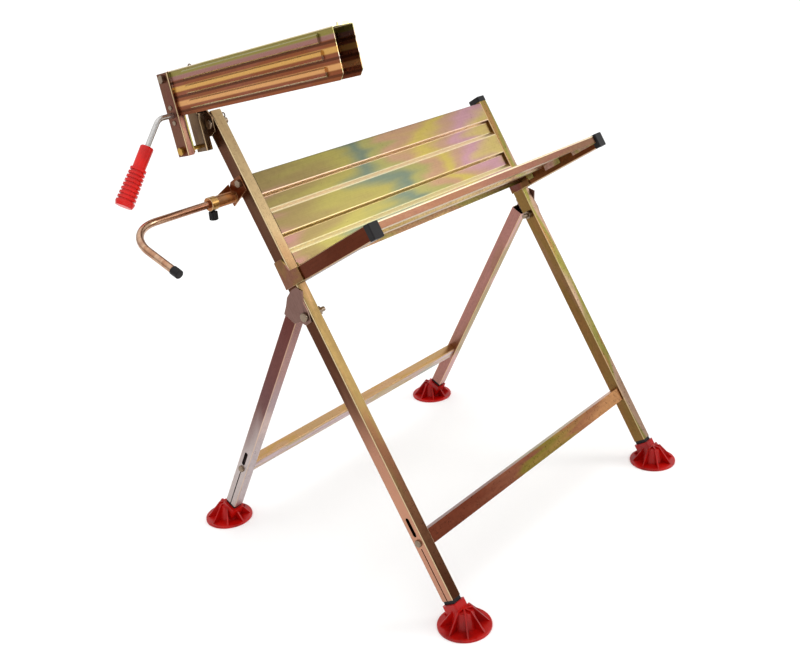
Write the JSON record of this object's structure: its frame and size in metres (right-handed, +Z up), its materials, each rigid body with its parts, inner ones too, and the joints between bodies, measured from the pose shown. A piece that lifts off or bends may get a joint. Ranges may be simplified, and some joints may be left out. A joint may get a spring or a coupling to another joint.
{
  "type": "folding sawhorse",
  "caption": "Folding steel sawhorse with a V trough for logs, a chainsaw clamp with a bar guard and crank, and a sliding log end stop.",
  "frame": {"origin": "bottom centre of the whole object's box, on the floor", "axes": "+X along the log to the plain end, away from the saw clamp and the stop rod; +Y from the front feet to the rear feet; +Z up"},
  "size_m": [1.0802, 0.784, 1.1142],
  "materials": {
    "zinc_steel": "yellow chromated zinc plating with an iridescent sheen",
    "bright_steel": "bright zinc plated steel",
    "red_plastic": "moulded, satin",
    "black_plastic": "moulded, satin"
  },
  "bodies": {
    "frame": {"long_leg_left": "zinc_steel", "long_leg_right": "zinc_steel", "front_arm_left": "zinc_steel", "front_arm_right": "zinc_steel", "arm_bracket_outer_left": "zinc_steel", "arm_bracket_outer_right": "zinc_steel", "arm_bracket_inner_left": "zinc_steel", "arm_bracket_inner_right": "zinc_steel", "rear_tray": "zinc_steel", "front_tray": "zinc_steel", "front_crossbar": "zinc_steel", "front_crossbar_bolts": "bright_steel", "front_foot_left": "red_plastic", "front_foot_right": "red_plastic", "front_foot_stub_left": "black_plastic", "front_foot_stub_right": "black_plastic", "front_arm_cap_left": "black_plastic", "front_arm_cap_right": "black_plastic", "long_leg_cap_right": "black_plastic", "hinge_bolt_left": "bright_steel", "hinge_bolt_right": "bright_steel", "hinge_nut_left": "bright_steel", "hinge_nut_right": "bright_steel", "stop_bracket": "zinc_steel", "stop_collar": "zinc_steel", "stop_bracket_bolt": "bright_steel", "swing_pin": "bright_steel", "swing_washer": "bright_steel", "swing_split_pin": "bright_steel", "swing_bush": "bright_steel"},
    "rear_legs": {"rear_leg_left": "zinc_steel", "rear_leg_right": "zinc_steel", "rear_crossbar": "zinc_steel", "rear_crossbar_bolts": "bright_steel", "rear_foot_left": "red_plastic", "rear_foot_right": "red_plastic", "rear_foot_stub_left": "black_plastic", "rear_foot_stub_right": "black_plastic", "hinge_gusset_left": "zinc_steel", "hinge_gusset_right": "zinc_steel"},
    "saw_holder": {"swing_plate": "zinc_steel", "inner_jaw": "zinc_steel", "outer_jaw": "zinc_steel", "nut_plate": "bright_steel", "nut_plate_rivets": "bright_steel", "upper_guide_pin": "bright_steel", "lower_guide_pin": "bright_steel", "guard_split_pin": "bright_steel"},
    "clamp_plate": {"clamp_plate": "zinc_steel"},
    "crank": {"crank_rod": "bright_steel", "screw_nose_ring": "bright_steel", "crank_grip": "red_plastic"},
    "guard": {"bar_guard": "zinc_steel"},
    "length_stop": {"stop_rod": "zinc_steel", "stop_rod_cap": "black_plastic"},
    "thumb_screw": {"thumb_screw": "black_plastic"}
  },
  "joints": [
    {"name": "leg_fold", "type": "hinge", "parent": "frame", "child": "rear_legs", "pos_m": [0.1121, -0.009, 0.57158], "axis": [-1, 0, 0], "range_deg": [0, 46]},
    {"name": "saw_swing", "type": "hinge", "parent": "frame", "child": "saw_holder", "pos_m": [-0.2629, 0.192, 0.91972], "axis": [1, 0, 0], "range_deg": [-12, 55]},
    {"name": "guard_tilt", "type": "hinge", "parent": "saw_holder", "child": "guard", "pos_m": [-0.3029, 0.23946, 1.00956], "axis": [-1, 0, 0], "range_deg": [0, 80]},
    {"name": "jaw_slide", "type": "slide", "parent": "saw_holder", "child": "clamp_plate", "axis": [1, 0, 0], "range_m": [0, 0.02]},
    {"name": "crank_turn", "type": "hinge", "parent": "clamp_plate", "child": "crank", "pos_m": [-0.3429, 0.22621, 0.94439], "axis": [1, 0, 0], "range_deg": [0, 3600]},
    {"name": "stop_slide", "type": "slide", "parent": "frame", "child": "length_stop", "axis": [1, 0, 0], "range_m": [-0.03, 0.11]},
    {"name": "thumb_screw_turn", "type": "hinge", "parent": "frame", "child": "thumb_screw", "pos_m": [-0.3324, 0.15146, 0.78551], "axis": [0, 0, -1], "range_deg": [-720, 0]}
  ],
  "couplings": [
    {"joint": "jaw_slide", "follows": "crank_turn", "m_per_rad": 0.0003183}
  ]
}
